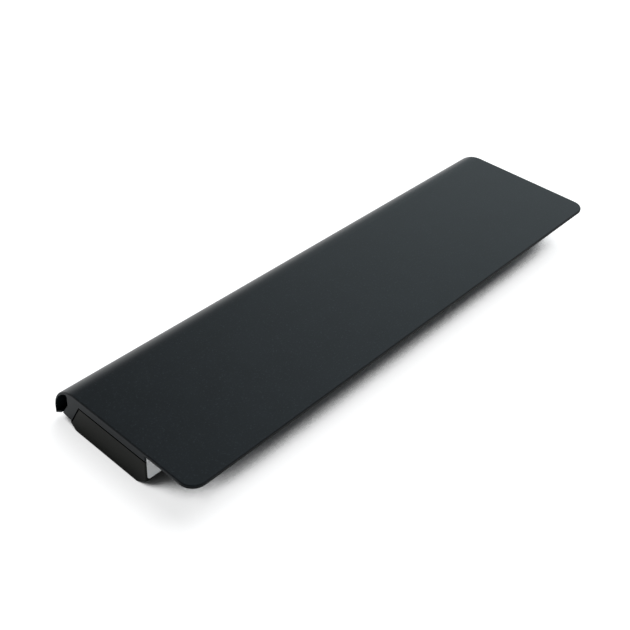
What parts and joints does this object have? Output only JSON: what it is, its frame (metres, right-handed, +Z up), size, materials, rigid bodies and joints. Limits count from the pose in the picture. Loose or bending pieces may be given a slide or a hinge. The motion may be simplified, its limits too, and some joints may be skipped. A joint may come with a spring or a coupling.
{
  "type": "laptop battery",
  "caption": "Slim laptop battery pack: a flat plastic cover with a rolled rear lip over a tray of cylindrical cells, with a slotted plug-in connector under the overhang.",
  "frame": {"origin": "on the floor under the middle of the pack's box, with the tray's flat floor at z = 0", "axes": "+X along the pack, +Y towards the rolled rear lip, +Z up out of the cover plate"},
  "size_m": [0.274, 0.0808, 0.0206],
  "materials": {
    "cover_plastic": "fine matt moulded black, cool grey sheen",
    "tray_plastic": "fine matt moulded black",
    "label_film": "bare pale film",
    "cell_sleeve": "shrink sleeve over a steel can",
    "fish_paper": "pressed insulating card",
    "nickel": "rolled nickel strip",
    "foam": "closed-cell foam",
    "board_laminate": "green solder mask",
    "connector_plastic": "moulded black",
    "contact_brass": "plated contact metal",
    "chip_epoxy": "moulded epoxy",
    "fuse_ceramic": "glazed ceramic body",
    "resistor_ceramic": "coated ceramic",
    "thermistor_ceramic": "sintered chip"
  },
  "bodies": {
    "root": {"cell_1": "cell_sleeve", "cell_2": "cell_sleeve", "cell_3": "cell_sleeve", "cell_4": "cell_sleeve", "cell_5": "cell_sleeve", "cell_6": "cell_sleeve", "cell_7": "cell_sleeve", "cell_8": "cell_sleeve", "charge_transistor": "chip_epoxy", "connector_contact_1": "contact_brass", "connector_contact_2": "contact_brass", "connector_contact_3": "contact_brass", "connector_contact_4": "contact_brass", "connector_contact_5": "contact_brass", "connector_contact_6": "contact_brass", "connector_contact_7": "contact_brass", "connector_contact_8": "contact_brass", "connector_housing": "connector_plastic", "cover": "cover_plastic", "discharge_transistor": "chip_epoxy", "foam_pad_left": "foam", "foam_pad_right": "foam", "gauge_chip": "chip_epoxy", "insulation_sheet": "fish_paper", "label": "label_film", "negative_strip": "nickel", "positive_strip": "nickel", "protection_board": "board_laminate", "safety_fuse": "fuse_ceramic", "sense_resistor": "resistor_ceramic", "series_strip_1": "nickel", "series_strip_2": "nickel", "series_strip_3": "nickel", "thermistor": "thermistor_ceramic", "tray": "tray_plastic"}
  },
  "joints": []
}
